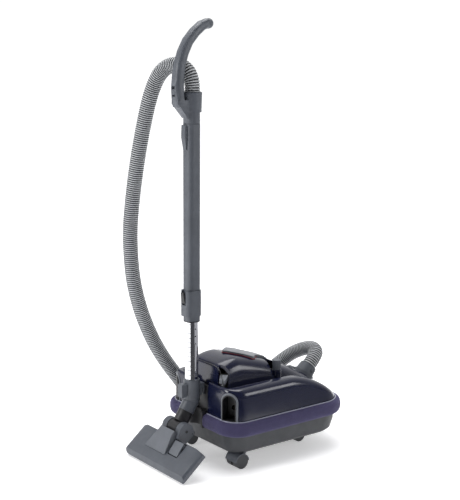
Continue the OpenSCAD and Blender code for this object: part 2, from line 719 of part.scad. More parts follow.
// ---------- handle ----------
socket_y = 1;
grip_path = [
  [-37, 938], [-41.5, 960], [-43, 985], [-41, 1012], [-36, 1041], [-26.5, 1070], [-12, 1097], [8, 1119],
  [30, 1136], [50, 1143]
];
function grip_ring(i) =
  let (
    a = grip_path[max(0, i - 1)],
    b = grip_path[min(len(grip_path) - 1, i + 1)],
    t = (b - a) / norm(b - a),
    s = i / (len(grip_path) - 1),
    tall = lerp(13.5, 11.5, s),
    wide = lerp(16, 12, s)
  )
  [for (k = [[-1, -0.55], [-0.62, -1], [0.62, -1], [1, -0.55], [1, 0.55], [0.62, 1], [-0.62, 1], [-1, 0.55]])
    [wide * k[0], grip_path[i][0] + tall * k[1] * t[1], grip_path[i][1] - tall * k[1] * t[0]]];
module handle_body() {
  color("dimgray") wand() difference() {
    union() {
      loft([for (i = [0 : len(grip_path) - 1]) grip_ring(i)]);
      translate([0, 51, 1141.4]) sphere(13.2, $fn = 32);
      hull() {
        translate([-16, -50, 943]) cube([32, 24, 9]);
        translate([-14, -20, 907]) cube([28, 30, 10]);
        translate([-15, -10, 944]) cube([30, 20, 10]);
      }
      translate([0, 0, sleeve_z1 + 0.6]) cylinder(h = 30, r = 21.5, $fn = 64);
      translate([0, socket_y, sleeve_z1 + 29]) cylinder(h = 50, r1 = 24.4, r2 = 26, $fn = 64);
    }
    translate([0, 0, sleeve_z1 - 5]) cylinder(h = 40, r = tube_d / 2, $fn = 64);
    translate([0, socket_y, sleeve_z1 + 34]) cylinder(h = 60, r = 22 + fit, $fn = 64);
    translate([-6, -80, 962]) cube([12, 36.4, 26]);
  }
}
module hose_sleeve() {
  color("black") wand() translate([0, socket_y, sleeve_z1 + 36]) difference() {
    cylinder(h = 38, r = 22, $fn = 64);
    translate([0, 0, -1]) cylinder(h = 42, r = hose_d / 2 + 0.3, $fn = 64);
  }
}
module relief_slider() {
  color("gray") wand() translate([-5.6, -55.6, 966]) cube([11.2, 11.6, 14]);
}

// ---------- lower wand ----------
module chrome_tube() {
  color("white") wand() translate([0, 0, 192]) difference() {
    cylinder(h = 568, r = tube_d / 2, $fn = 64);
    translate([0, 0, -1]) cylinder(h = 570, r = tube_d / 2 - 1, $fn = 64);
    for (i = [0 : 5]) translate([14, 0, 130 + 20 * i]) rotate([0, 90, 0]) cylinder(h = 6, r = 2, $fn = 24);
  }
}
neck_angle = 33;
elbow_z = 168;
module neck_socket() {
  color("dimgray") wand() difference() {
    union() {
      translate([0, 0, elbow_z + 2]) cylinder(h = 54, r = 21.5, $fn = 64);
      translate([-12, 15, 178]) cube([24, 18, 32]);
    }
    translate([0, 0, 191.6]) cylinder(h = 60, r = tube_d / 2, $fn = 64);
    translate([0, 0, elbow_z - 4]) cylinder(h = 60, r = tube_d / 2 - 2, $fn = 64);
    translate([-20, 24, 177]) cube([40, 6, 20]);
  }
}
module neck_latch() {
  color("silver") wand() translate([-10, -38, 180]) difference() {
    cube([20, 16, 34]);
    translate([2, 3, -1]) cube([16, 14, 28]);
  }
}
module elbow() {
  color("dimgray") wand() translate([0, 0, elbow_z]) difference() {
    union() {
      sphere(21.4, $fn = 48);
      translate([0, 0, -1]) cylinder(h = 2.6, r = 22, $fn = 64);
      rotate([180 - neck_angle, 0, 0]) cylinder(h = 34, r = 20.8, $fn = 64);
    }
    sphere(17, $fn = 48);
    rotate([180 - neck_angle, 0, 0]) cylinder(h = 40, r = 15.5, $fn = 64);
    cylinder(h = 30, r = 15.5, $fn = 64);
    translate([-30, -30, 1.6]) cube([60, 60, 40]);
  }
}

// ---------- floor head ----------
head_y = -340;
head_z = 1.6;
pivot_d = 118;
pivot_n = 27;
module head() {
  can() translate([0, head_y, head_z]) rotate([head_tilt, 0, 0]) children();
}
module swivel_arm() {
  color("black") difference() {
    union() {
      head() translate([-19, pivot_d, pivot_n]) rotate([0, 90, 0]) cylinder(h = 38, r = 21, $fn = 64);
      wand() translate([0, 0, elbow_z]) rotate([180 - neck_angle, 0, 0])
        translate([0, 0, 34.6]) cylinder(h = 30, r = 20, $fn = 64);
    }
    wand() translate([0, 0, elbow_z]) rotate([180 - neck_angle, 0, 0])
      translate([0, 0, 30]) cylinder(h = 26, r = 16, $fn = 64);
    head() translate([-30, pivot_d, pivot_n]) rotate([0, 90, 0]) cylinder(h = 60, r = 4 + fit, $fn = 32);
  }
}
module head_block(x, d0, n0, l, d, h) { translate([x, d0, n0]) cube([l, d, h]); }
module head_body() {
  hw = head_w / 2;
  color("dimgray") head() difference() {
    union() {
      hull() {
        head_block(-hw, 6, 3, head_w, 82, 10);
        head_block(-hw + 6, 0, -0.6, head_w - 12, 88, 8);
        head_block(-hw + 5, 10, 14, head_w - 10, 76, 5);
        head_block(-hw + 22, 28, 22, head_w - 44, head_d - 30, 3);
      }
      for (sx = [-1, 1]) difference() {
        head_lug(sx, 0);
        head_block(-100, 90, -10, 200, 80, 10.5);
      }
    }
    head_block(-hw + 8, 10, -1, head_w - 16, 74, 4.6);
    head_block(-hw + 14, 30, -1, head_w - 28, 36, 17);
    head_block(-20.4, 70, 3, 40.8, 90, 60);
    translate([-60, pivot_d, pivot_n]) rotate([0, 90, 0]) cylinder(h = 120, r = 4, $fn = 32);
    pedal_recess();
    for (sx = [-1, 1]) translate([sx * lug_x - 7.6, pivot_d + 8, 8]) rotate([0, 90, 0])
      cylinder(h = 15.2, r = 11, $fn = 32);
    translate([-60, pivot_d + 8, 8]) rotate([0, 90, 0]) cylinder(h = 120, r = 2, $fn = 32);
    translate([31, rocker_d, rocker_n]) rotate([0, 90, 0]) cylinder(h = 46, r = 1.5, $fn = 32);
  }
}
lug_x = 31;
// one of the two lugs beside the swivel arm, grown by g
module head_lug(sx, g) {
  hull() {
    translate([sx * lug_x - 10 - g, pivot_d, pivot_n]) rotate([0, 90, 0])
      cylinder(h = 20 + 2 * g, r = 21.6 + g, $fn = 48);
    translate([sx * lug_x - 10 - g, pivot_d + 7, 10]) rotate([0, 90, 0])
      cylinder(h = 20 + 2 * g, r = 8 + g, $fn = 32);
    head_block(sx * lug_x - 10 - g, 70 - g, 4 - g, 20 + 2 * g, 20 + g, 20 + 2 * g);
  }
}
module pedal_recess() { head_block(33, 44, 17, 42, 44, 20); }
rocker_d = 64;
rocker_n = 21.5;
module head_spine() {
  color("slategray") head() difference() {
    hull() {
      head_block(-30, 88, 36, 60, 10, 15);
      head_block(-29, 66, 25.4, 58, 10, 14);
      head_block(-64, 38, 25.4, 92, 8, 1.6);
    }
    for (sx = [-1, 1]) head_lug(sx, 0.4);
    translate([-30, pivot_d, pivot_n]) rotate([0, 90, 0]) cylinder(h = 60, r = 22, $fn = 64);
    head_block(-20.2, 88, 20, 40.4, 60, 12);
  }
}
module sole_plate() {
  hw = head_w / 2;
  color("silver") head() difference() {
    head_block(-hw + 8.6, 10.6, 0.4, head_w - 17.2, 72.8, 2);
    head_block(-hw + 30, 40, -1, head_w - 60, 14, 6);
    for (sd = [33, 59]) head_block(-hw + 24, sd, -1, head_w - 48, 4, 6);
  }
}
module brush_strips() {
  hw = head_w / 2;
  color("black") head() {
    for (sd = [34, 60]) head_block(-hw + 25, sd, 0.8, head_w - 50, 2, 10);
    for (x = [-hw + 25, hw - 37]) head_block(x, 34, 7.6, 12, 28, 2.8);
  }
}
module rocker_pedal() {
  color("slategray") head() difference() {
    hull() {
      head_block(35, 47, 20.8, 38, 2, 4.4);
      head_block(35, 80, 20.8, 38, 4, 13);
      head_block(35, 60, 19, 38, 8, 11);
    }
    translate([30, rocker_d, rocker_n]) rotate([0, 90, 0]) cylinder(h = 50, r = 1.5 + fit, $fn = 32);
  }
}
module head_roller(sx) {
  color("black") head() translate([sx * lug_x - 7, pivot_d + 8, 8]) rotate([0, 90, 0]) difference() {
    cylinder(h = 14, r = 9.4, $fn = 48);
    translate([0, 0, -1]) cylinder(h = 20, r = 2 + fit, $fn = 32);
  }
}
module head_roller_left() { head_roller(-1); }
module head_roller_right() { head_roller(1); }
module head_pins() {
  color("silver") head() {
    translate([-41.6, pivot_d, pivot_n]) rotate([0, 90, 0]) cylinder(h = 83.2, r = 4, $fn = 32);
    for (sx = [-1, 1]) translate([sx * lug_x - 9.4, pivot_d + 8, 8]) rotate([0, 90, 0])
      cylinder(h = 18.8, r = 2, $fn = 32);
    translate([32, rocker_d, rocker_n]) rotate([0, 90, 0]) cylinder(h = 44, r = 1.5, $fn = 32);
  }
}

lower_tub();
bumper();
upper_shell();
dome_cover();
carry_handle();
park_bracket();
arch_trims();
cord_outlet_pocket();
exhaust_grille();
inlet_collar();
motor_housing();
motor_stator();
motor_fan();
motor_seal();
dust_bag();
bag_holder();
premotor_filter();
exhaust_filter();
reel_drum();
reel_axle();
control_board();
power_pedal();
rewind_pedal();
pedal_springs();
knob_pillar();
suction_knob();
bag_lid();
lid_latch();
hinge_pins();
hose_cuff();
castor_hood_rl();
castor_hood_rr();
castor_hood_fl();
castor_hood_fr();
castor_wheels_rl();
castor_wheels_rr();
castor_wheels_fl();
castor_wheels_fr();
hose();
handle_body();
hose_sleeve();
relief_slider();
wand_latch();
upper_tube();
clip_housing();
clip_button();
tube_bushing();
chrome_tube();
neck_socket();
neck_latch();
elbow();
swivel_arm();
head_body();
head_spine();
sole_plate();
brush_strips();
rocker_pedal();
head_roller_left();
head_roller_right();
head_pins();
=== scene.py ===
import math

import bpy
import bmesh
from mathutils import Matrix, Vector


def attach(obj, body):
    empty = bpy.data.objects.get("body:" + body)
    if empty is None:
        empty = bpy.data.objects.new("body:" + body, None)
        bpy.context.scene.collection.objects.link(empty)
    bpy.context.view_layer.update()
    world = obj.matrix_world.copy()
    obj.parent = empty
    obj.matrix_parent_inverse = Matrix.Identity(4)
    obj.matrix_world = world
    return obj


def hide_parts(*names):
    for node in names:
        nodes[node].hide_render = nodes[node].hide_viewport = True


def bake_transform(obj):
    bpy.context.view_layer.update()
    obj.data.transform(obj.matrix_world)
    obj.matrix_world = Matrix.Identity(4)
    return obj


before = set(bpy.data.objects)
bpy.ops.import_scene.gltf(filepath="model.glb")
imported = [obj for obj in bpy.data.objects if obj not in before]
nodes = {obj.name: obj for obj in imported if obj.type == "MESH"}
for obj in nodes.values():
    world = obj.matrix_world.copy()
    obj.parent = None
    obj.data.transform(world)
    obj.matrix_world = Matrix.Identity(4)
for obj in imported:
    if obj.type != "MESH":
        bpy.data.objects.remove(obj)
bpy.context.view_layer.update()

# Lengths are in millimetres. Places are in the canister's frame, whose origin is on the floor under its
# middle, CAN_Y ahead of the shared one. The camera, the lights and the hose's route use the shared frame.
MM = 0.001
CAN_Y = 71.0


# ---------------------------------------------------------------- camera
def place_camera():
    azimuth, pitch = math.radians(52.92), math.radians(10.68)
    level = math.cos(pitch)
    forward = Vector((-math.sin(azimuth) * level, math.cos(azimuth) * level, -math.sin(pitch)))
    cam = bpy.data.objects.new("camera", bpy.data.cameras.new("camera"))
    bpy.context.scene.collection.objects.link(cam)
    cam.location = Vector((2.3106, -1.8445 + CAN_Y * MM, 1.1013))
    roll = Matrix.Rotation(math.radians(0.35), 4, "Z")
    facing = forward.to_track_quat("-Z", "Y").to_matrix().to_4x4()
    cam.matrix_world = Matrix.Translation(cam.location) @ facing @ roll
    cam.data.lens = 80.27
    cam.data.clip_end = 50
    bpy.context.scene.camera = cam


place_camera()


# ---------------------------------------------------------------- mesh helpers
def new_object(name, verts, faces, smooth=True):
    me = bpy.data.meshes.new(name)
    me.from_pydata([tuple(v) for v in verts], [], faces)
    me.validate()
    me.update()
    if smooth:
        me.polygons.foreach_set("use_smooth", [True] * len(me.polygons))
    ob = bpy.data.objects.new(name, me)
    bpy.context.scene.collection.objects.link(ob)
    return ob


def can(p):
    """A point of the canister's frame, in millimetres, as a point of the shared frame in metres."""
    return Vector((p[0] * MM, (p[1] + CAN_Y) * MM, p[2] * MM))


def loft(name, rings, skin=False, smooth=True, place=None):
    """Joins closed rings of points; skin joins the last ring to the first instead of capping the ends."""
    n, m = len(rings[0]), len(rings)
    place = place or (lambda p: p)
    verts = [place(p) for r in rings for p in r]
    faces = []
    for i in range(m if skin else m - 1):
        h = (i + 1) % m
        for j in range(n):
            k = (j + 1) % n
            faces.append((i * n + j, i * n + k, h * n + k, h * n + j))
    if not skin:
        faces.append(tuple(range(n - 1, -1, -1)))
        faces.append(tuple((m - 1) * n + j for j in range(n)))
    return new_object(name, verts, faces, smooth)


def recalc(ob):
    bm = bmesh.new()
    bm.from_mesh(ob.data)
    bmesh.ops.remove_doubles(bm, verts=bm.verts, dist=1e-6)
    bmesh.ops.recalc_face_normals(bm, faces=bm.faces)
    bm.to_mesh(ob.data)
    bm.free()
    return ob


def apply_modifiers(ob):
    bpy.context.view_layer.update()
    dg = bpy.context.evaluated_depsgraph_get()
    me = bpy.data.meshes.new_from_object(ob.evaluated_get(dg))
    old = ob.data
    ob.modifiers.clear()
    ob.data = me
    bpy.data.meshes.remove(old)


def combine(ob, operation, others):
    for c in others:
        m = ob.modifiers.new("combine", "BOOLEAN")
        m.operation, m.solver, m.object = operation, "EXACT", c
    apply_modifiers(ob)
    for c in others:
        bpy.data.objects.remove(c)


def cut(ob, *cutters):
    combine(ob, "DIFFERENCE", cutters)


def add(ob, *others):
    combine(ob, "UNION", others)


def box_at(name, x0, y0, z0, x1, y1, z1, place=can):
    v = [(x, y, z) for x in (x0, x1) for y in (y0, y1) for z in (z0, z1)]
    f = [(0, 1, 3, 2), (4, 6, 7, 5), (0, 4, 5, 1), (2, 3, 7, 6), (0, 2, 6, 4), (1, 5, 7, 3)]
    return new_object(name, [place(p) for p in v], f, False)


def rod(name, a, b, r, place=can, sides=64, r2=None):
    """A round bar from a to b; r2 is its radius at b."""
    a, b = Vector(a), Vector(b)
    t = (b - a).normalized()
    u = t.orthogonal().normalized()
    v = t.cross(u)
    r2 = r if r2 is None else r2
    turns = [2 * math.pi * i / sides for i in range(sides)]
    rings = [[c + q * (math.cos(k) * u + math.sin(k) * v) for k in turns] for c, q in ((a, r), (b, r2))]
    return recalc(loft(name, rings, place=place))


def crisp(ob, width=0.6, angle=32, segments=2, weld=False):
    """Rounds the hard edges and shades the rest smooth."""
    if weld:
        w = ob.modifiers.new("weld", "WELD")
        w.merge_threshold = 1e-6
    if width:
        b = ob.modifiers.new("edges", "BEVEL")
        b.width, b.segments, b.limit_method = width * MM, segments, "ANGLE"
        b.angle_limit = math.radians(angle)
        b.use_clamp_overlap = True
        b.harden_normals = False
    n = ob.modifiers.new("normals", "WEIGHTED_NORMAL")
    n.keep_sharp = True
    ob.data.polygons.foreach_set("use_smooth", [True] * len(ob.data.polygons))
    bpy.context.view_layer.update()


def smooth_by_angle(ob, degrees):
    me = ob.data
    me.polygons.foreach_set("use_smooth", [True] * len(me.polygons))
    bm = bmesh.new()
    bm.from_mesh(me)
    for e in bm.edges:
        e.smooth = not (len(e.link_faces) == 2 and e.calc_face_angle(0) > math.radians(degrees))
    bm.to_mesh(me)
    bm.free()


def finish_piece(ob, slot, body, *replaced):
    """Hides the CAD parts that a piece stands in for and attaches the piece to the body that it rides on; its
    slot is not used.
    """
    if replaced:
        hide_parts(*replaced)
    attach(ob, body)


# ---------------------------------------------------------------- materials
def shader(name, color, rough=0.5, metallic=0.0, **sockets):
    mat = bpy.data.materials.new(name)
    mat.use_nodes = True
    nt = mat.node_tree
    b = nt.nodes["Principled BSDF"]
    b.inputs["Base Color"].default_value = (*color, 1)
    b.inputs["Roughness"].default_value = rough
    b.inputs["Metallic"].default_value = metallic
    for k, v in sockets.items():
        b.inputs[k.replace("_", " ")].default_value = v
    return mat, nt, b


def node(nt, kind, **values):
    n = nt.nodes.new(kind)
    for k, v in values.items():
        if k in n.inputs:
            n.inputs[k].default_value = v
        else:
            setattr(n, k, v)
    return n


def coords(nt, scale=(1, 1, 1), rotation=(0, 0, 0)):
    tc = node(nt, "ShaderNodeTexCoord")
    mp = node(nt, "ShaderNodeMapping")
    mp.inputs["Scale"].default_value = scale
    mp.inputs["Rotation"].default_value = rotation
    nt.links.new(tc.outputs["Object"], mp.inputs["Vector"])
    return mp.outputs["Vector"]


def mottle(nt, b, vec, color, scale, amount, detail=4.0):
    """Small tonal variation of the base colour."""
    nz = node(nt, "ShaderNodeTexNoise", Scale=scale, Detail=detail, Roughness=0.6)
    nt.links.new(vec, nz.inputs["Vector"])
    ramp = node(nt, "ShaderNodeValToRGB")
    lo = [max(0, c * (1 - amount)) for c in color]
    hi = [min(1, c * (1 + amount)) for c in color]
    ramp.color_ramp.elements[0].position = 0.3
    ramp.color_ramp.elements[1].position = 0.7
    ramp.color_ramp.elements[0].color = (*lo, 1)
    ramp.color_ramp.elements[1].color = (*hi, 1)
    nt.links.new(nz.outputs["Fac"], ramp.inputs["Fac"])
    nt.links.new(ramp.outputs["Color"], b.inputs["Base Color"])


def rough_range(nt, b, vec, scale, lo, hi):
    nz = node(nt, "ShaderNodeTexNoise", Scale=scale, Detail=3.0)
    nt.links.new(vec, nz.inputs["Vector"])
    mr = node(nt, "ShaderNodeMapRange")
    mr.inputs["From Min"].default_value, mr.inputs["From Max"].default_value = 0.3, 0.7
    mr.inputs["To Min"].default_value, mr.inputs["To Max"].default_value = lo, hi
    nt.links.new(nz.outputs["Fac"], mr.inputs["Value"])
    nt.links.new(mr.outputs["Result"], b.inputs["Roughness"])


def bump(nt, b, height, strength, distance):
    bp = node(nt, "ShaderNodeBump", Strength=strength, Distance=distance)
    nt.links.new(height, bp.inputs["Height"])
    nt.links.new(bp.outputs["Normal"], b.inputs["Normal"])


def gloss_plastic(name, color, rough=0.22, coat=0.5):
    mat, nt, b = shader(name, color, rough, Coat_Weight=coat, Coat_Roughness=0.08)
    b.inputs["Specular IOR Level"].default_value = 0.4
    v = coords(nt)
    mottle(nt, b, v, color, 9.0, 0.08)
    rough_range(nt, b, v, 30.0, rough - 0.04, rough + 0.06)
    nz = node(nt, "ShaderNodeTexNoise", Scale=60.0, Detail=1.0)
    nt.links.new(v, nz.inputs["Vector"])
    bump(nt, b, nz.outputs["Fac"], 0.01, 0.0001)
    return mat


def grained_plastic(name, color, rough=0.5, grain=900.0, strength=0.25, amount=0.10):
    mat, nt, b = shader(name, color, rough)
    v = coords(nt)
    mottle(nt, b, v, color, 25.0, amount)
    rough_range(nt, b, v, 60.0, rough - 0.06, rough + 0.08)
    vo = node(nt, "ShaderNodeTexVoronoi", Scale=grain)
    nt.links.new(v, vo.inputs["Vector"])
    bump(nt, b, vo.outputs["Distance"], strength, 0.00025)
    return mat


def brushed(name, color, rough):
    mat, nt, b = shader(name, color, rough, 1.0)
    v = coords(nt, (8, 8, 500))
    mottle(nt, b, v, color, 3.0, 0.06)
    rough_range(nt, b, v, 4.0, max(0.03, rough - 0.05), rough + 0.07)
    nz = node(nt, "ShaderNodeTexNoise", Scale=6.0, Detail=2.0)
    nt.links.new(v, nz.inputs["Vector"])
    bump(nt, b, nz.outputs["Fac"], 0.05, 0.0002)
    return mat


MARK_PITCH, MARK_HEIGHT = 0.0125, 0.0013
MARK_X, MARK_Y = 0.0035, -0.1625


def chrome_scale(name):
    """Polished tube with fine dark marks where x is over MARK_X and y under MARK_Y, in metres."""
    mat, nt, b = shader(name, (0.82, 0.83, 0.85), 0.09, 1.0)
    v = coords(nt)
    rough_range(nt, b, coords(nt, (400, 400, 6)), 4.0, 0.05, 0.15)
    sep = node(nt, "ShaderNodeSeparateXYZ")
    nt.links.new(v, sep.inputs["Vector"])

    def math_node(op, a, value):
        n = node(nt, "ShaderNodeMath", operation=op)
        nt.links.new(a, n.inputs[0])
        if isinstance(value, float):
            n.inputs[1].default_value = value
        else:
            nt.links.new(value, n.inputs[1])
        return n.outputs[0]

    pitch = math_node("LESS_THAN", math_node("MODULO", sep.outputs["Z"], MARK_PITCH), MARK_HEIGHT)
    side = math_node("MULTIPLY", math_node("GREATER_THAN", sep.outputs["X"], MARK_X),
                     math_node("LESS_THAN", sep.outputs["Y"], MARK_Y))
    mark = math_node("MULTIPLY", pitch, side)
    nz = node(nt, "ShaderNodeTexNoise", Scale=35.0, Detail=3.0)
    nt.links.new(v, nz.inputs["Vector"])
    tone = node(nt, "ShaderNodeValToRGB")
    tone.color_ramp.elements[0].color = (0.76, 0.77, 0.80, 1)
    tone.color_ramp.elements[1].color = (0.88, 0.89, 0.90, 1)
    nt.links.new(nz.outputs["Fac"], tone.inputs["Fac"])
    mix = node(nt, "ShaderNodeMix", data_type="RGBA")
    nt.links.new(mark, mix.inputs["Factor"])
    nt.links.new(tone.outputs["Color"], mix.inputs[6])
    mix.inputs[7].default_value = (0.05, 0.05, 0.055, 1)
    nt.links.new(mix.outputs[2], b.inputs["Base Color"])
    return mat


def woven(name, color, thread, sheen):
    """A plain weave: two crossed thread directions in bump and tone."""
    mat, nt, b = shader(name, color, 0.86, Sheen_Weight=sheen, Sheen_Roughness=0.45)
    b.inputs["Sheen Tint"].default_value = (0.55, 0.52, 0.85, 1)
    v = coords(nt)
    waves = []
    for axis in ("X", "Y", "Z"):
        w = node(nt, "ShaderNodeTexWave", wave_type="BANDS", bands_direction=axis, Scale=0.314 / thread,
                 Distortion=0.6, Detail=1.0)
        nt.links.new(v, w.inputs["Vector"])
        waves.append(w.outputs["Fac"])
    mx = node(nt, "ShaderNodeMath", operation="MAXIMUM")
    nt.links.new(waves[0], mx.inputs[0])
    nt.links.new(waves[1], mx.inputs[1])
    ml = node(nt, "ShaderNodeMath", operation="MULTIPLY")
    nt.links.new(mx.outputs[0], ml.inputs[0])
    nt.links.new(waves[2], ml.inputs[1])
    nz = node(nt, "ShaderNodeTexNoise", Scale=45.0, Detail=5.0, Roughness=0.7)
    nt.links.new(v, nz.inputs["Vector"])
    ramp = node(nt, "ShaderNodeValToRGB")
    ramp.color_ramp.elements[0].color = (*[c * 0.62 for c in color], 1)
    ramp.color_ramp.elements[1].color = (*[min(1, c * 1.35) for c in color], 1)
    mix = node(nt, "ShaderNodeMath", operation="MULTIPLY_ADD")
    mix.inputs[1].default_value = 0.55
    nt.links.new(ml.outputs[0], mix.inputs[0])
    sc = node(nt, "ShaderNodeMath", operation="MULTIPLY")
    sc.inputs[1].default_value = 0.6
    nt.links.new(nz.outputs["Fac"], sc.inputs[0])
    nt.links.new(sc.outputs[0], mix.inputs[2])
    nt.links.new(mix.outputs[0], ramp.inputs["Fac"])
    nt.links.new(ramp.outputs["Color"], b.inputs["Base Color"])
    bump(nt, b, ml.outputs[0], 0.6, 0.0005)
    return mat


def fleece(name, color):
    mat, nt, b = shader(name, color, 0.95, Sheen_Weight=0.2)
    v = coords(nt)
    mottle(nt, b, v, color, 140.0, 0.10, 8.0)
    nz = node(nt, "ShaderNodeTexNoise", Scale=700.0, Detail=6.0)
    nt.links.new(v, nz.inputs["Vector"])
    bump(nt, b, nz.outputs["Fac"], 0.5, 0.0006)
    return mat


NAVY = (0.0045, 0.0065, 0.026)
M = {
    "navy": gloss_plastic("navy_gloss", NAVY, 0.2, 0.25),
    "tub": grained_plastic("tub_grain", (0.034, 0.037, 0.043), 0.48, 700.0, 0.3),
    "cloth": woven("bumper_weave", (0.040, 0.034, 0.094), 0.0011, 0.2),
    # a light lavender-grey that stands in for the highlight line along the bumper's upper edge: painted
    # highlight
    "piping": gloss_plastic("edge_lip_painted_highlight", (0.30, 0.31, 0.40), 0.3, 0.3),
    "grey": grained_plastic("grey_grain", (0.078, 0.087, 0.104), 0.42, 1100.0, 0.18),
    "mid": grained_plastic("mid_grain", (0.125, 0.136, 0.155), 0.38, 1100.0, 0.15),
    "light": grained_plastic("light_grain", (0.36, 0.37, 0.40), 0.38, 1100.0, 0.12),
    "black": grained_plastic("black_grain", (0.012, 0.012, 0.014), 0.45, 900.0, 0.2),
    # a lit and a shaded copy of the hose's one grey: the ridges' light tone is partly painted highlight, the
    # grooves' dark tone is painted shade
    "hose": grained_plastic("hose_grey_and_painted_highlight", (0.40, 0.415, 0.43), 0.28, 500.0, 0.08, 0.06),
    "painted_shade_groove": grained_plastic("hose_groove", (0.030, 0.032, 0.036), 0.6, 500.0, 0.1),
    "chrome": chrome_scale("chrome_tube"),
    "steel": brushed("steel_brushed", (0.55, 0.56, 0.58), 0.28),
    "tyre": grained_plastic("castor_tread", (0.040, 0.042, 0.047), 0.55, 600.0, 0.35),
    "rubber": grained_plastic("soft_rubber", (0.012, 0.012, 0.012), 0.62, 800.0, 0.3),
    "bristle": fleece("bristle_pile", (0.020, 0.020, 0.022)),
    "paper": fleece("bag_fleece", (0.70, 0.66, 0.58)),
    "filter": fleece("filter_fleece", (0.80, 0.80, 0.78)),
    "cream": grained_plastic("cream_shell", (0.52, 0.47, 0.37), 0.5, 900.0, 0.2),
    "board": grained_plastic("board_lacquer", (0.02, 0.14, 0.05), 0.3, 400.0, 0.1),
    "red": grained_plastic("red_edge", (0.16, 0.008, 0.012), 0.4, 900.0, 0.1),
}


def paint(ob, *mats):
    ob.data.materials.clear()
    for m in mats:
        ob.data.materials.append(m)
    return ob


# ---------------------------------------------------------------- hose
HOSE_D = 41.0
ROUTE = [
    (0, -149, 968), (0, -149, 986), (-3, -150, 1003), (-12, -153, 1020), (-29, -158, 1033),
    (-52, -165, 1038), (-77, -173, 1032), (-99, -181, 1014), (-116, -188, 984), (-130, -195, 942),
    (-143, -202, 885), (-155, -209, 820), (-166, -215, 750), (-176, -219, 680), (-184, -221, 610),
    (-190, -217, 540), (-194, -208, 470), (-195, -193, 405), (-195, -170, 340), (-195, -139, 275),
    (-195, -101, 215), (-194, -60, 160), (-194, -18, 106), (-194, 22, 62), (-194, 62, 33),
    (-193, 102, 23), (-191, 142, 30), (-191, 180, 50), (-188, 212, 80), (-179, 239, 112),
    (-163, 259, 143), (-136, 270, 170), (-111, 284, 193), (-84, 295, 210), (-56, 302, 221),
    (-32, 302, 224), (-13, 294, 219), (-3, 278, 208), (0, 262, 195), (0, 247, 180),
]


def smooth_path(points, step):
    """A Catmull-Rom curve through the points, resampled at an even step."""
    p = [Vector(q) * MM for q in points]
    p = [p[0] * 2 - p[1]] + p + [p[-1] * 2 - p[-2]]
    dense = []
    for i in range(1, len(p) - 2):
        for s in range(24):
            t = s / 24
            a, b, c, d = p[i - 1], p[i], p[i + 1], p[i + 2]
            dense.append(0.5 * ((2 * b) + (c - a) * t + (2 * a - 5 * b + 4 * c - d) * t * t
                                + (3 * b - a - 3 * c + d) * t ** 3))
    dense.append(p[-2])
    lengths = [0.0]
    for a, b in zip(dense, dense[1:]):
        lengths.append(lengths[-1] + (b - a).length)
    total, out, i = lengths[-1], [], 0
    count = max(2, round(total / step))
    for k in range(count + 1):
        s = total * k / count
        while i < len(dense) - 2 and lengths[i + 1] < s:
            i += 1
        seg = lengths[i + 1] - lengths[i]
        out.append(dense[i].lerp(dense[i + 1], (s - lengths[i]) / seg if seg else 0))
    return out, total


def carried_frames(path):
    """Each point of a path with two cross directions that turn as little as they can."""
    first = (path[1] - path[0]).normalized()
    u = Vector((1, 0, 0)) if abs(first.x) < 0.9 else Vector((0, 0, 1))
    out = []
    for i, p in enumerate(path):
        t = (path[min(i + 1, len(path) - 1)] - path[max(i - 1, 0)]).normalized()
        u = (u - u.dot(t) * t).normalized()
        out.append((p, u, t.cross(u)))
    return out


def make_hose():
    pitch = 5.6 * MM
    # how far the surface lies under the ridge, over one pitch
    profile = [0.0, 0.0, -0.5, -2.4, -2.4, -0.5]
    per = len(profile)
    path, total = smooth_path(ROUTE, pitch / per)
    verts, faces, painted_shade_groove = [], [], []
    n = 28
    for i, (p, u, v) in enumerate(carried_frames(path)):
        r = (HOSE_D / 2 - 0.1 + profile[i % per]) * MM
        for k in range(n):
            a = 2 * math.pi * k / n
            verts.append(p + r * (math.cos(a) * u + math.sin(a) * v))
    for i in range(len(path) - 1):
        for k in range(n):
            h = (k + 1) % n
            faces.append((i * n + k, i * n + h, (i + 1) * n + h, (i + 1) * n + k))
            # the faces in the grooves take the dark copy of the hose's grey: painted shade
            painted_shade_groove.append(1 if i % per in (2, 3, 4) else 0)
    ob = new_object("corrugated_hose", verts, faces)
    paint(ob, M["hose"], M["painted_shade_groove"])
    ob.data.polygons.foreach_set("material_index", painted_shade_groove)
    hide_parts("hose")
    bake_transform(ob)
    tuple(path[0])
    [tuple(p) for p in path]


make_hose()

# ---------------------------------------------------------------- CAD nodes: materials and edge finish
LOOK = {
    "lower_tub": "tub", "bumper": "cloth", "upper_shell": "navy", "dome_cover": "navy",
    "carry_handle": "mid", "park_bracket": "black", "arch_trims": "mid", "cord_outlet_pocket": "black",
    "exhaust_grille": "black", "inlet_collar": "grey", "motor_housing": "cream", "motor_stator": "steel",
    "motor_fan": "steel", "motor_seal": "rubber", "dust_bag": "paper", "bag_holder": "cream",
    "premotor_filter": "filter", "exhaust_filter": "filter", "reel_drum": "cream", "reel_axle": "steel",
    "control_board": "board", "power_pedal": "mid", "rewind_pedal": "mid", "pedal_springs": "steel",
    "knob_pillar": "navy", "suction_knob": "grey", "bag_lid": "navy", "lid_latch": "grey",
    "hinge_pins": "steel", "hose_cuff": "grey", "castor_hood_rl": "grey", "castor_hood_rr": "grey",
    "castor_hood_fl": "grey", "castor_hood_fr": "grey", "castor_wheels_rl": "tyre",
    "castor_wheels_rr": "tyre", "castor_wheels_fl": "tyre", "castor_wheels_fr": "tyre", "hose": "hose",
    "handle_body": "grey", "hose_sleeve": "black", "relief_slider": "grey", "wand_latch": "grey",
    "upper_tube": "grey", "clip_housing": "grey", "clip_button": "black", "tube_bushing": "black",
    "chrome_tube": "chrome", "neck_socket": "grey", "neck_latch": "grey", "elbow": "grey",
    "swivel_arm": "black", "head_body": "grey", "head_spine": "mid", "sole_plate": "steel",
    "brush_strips": "bristle", "rocker_pedal": "mid", "head_roller_left": "rubber",
    "head_roller_right": "rubber", "head_pins": "black",
}
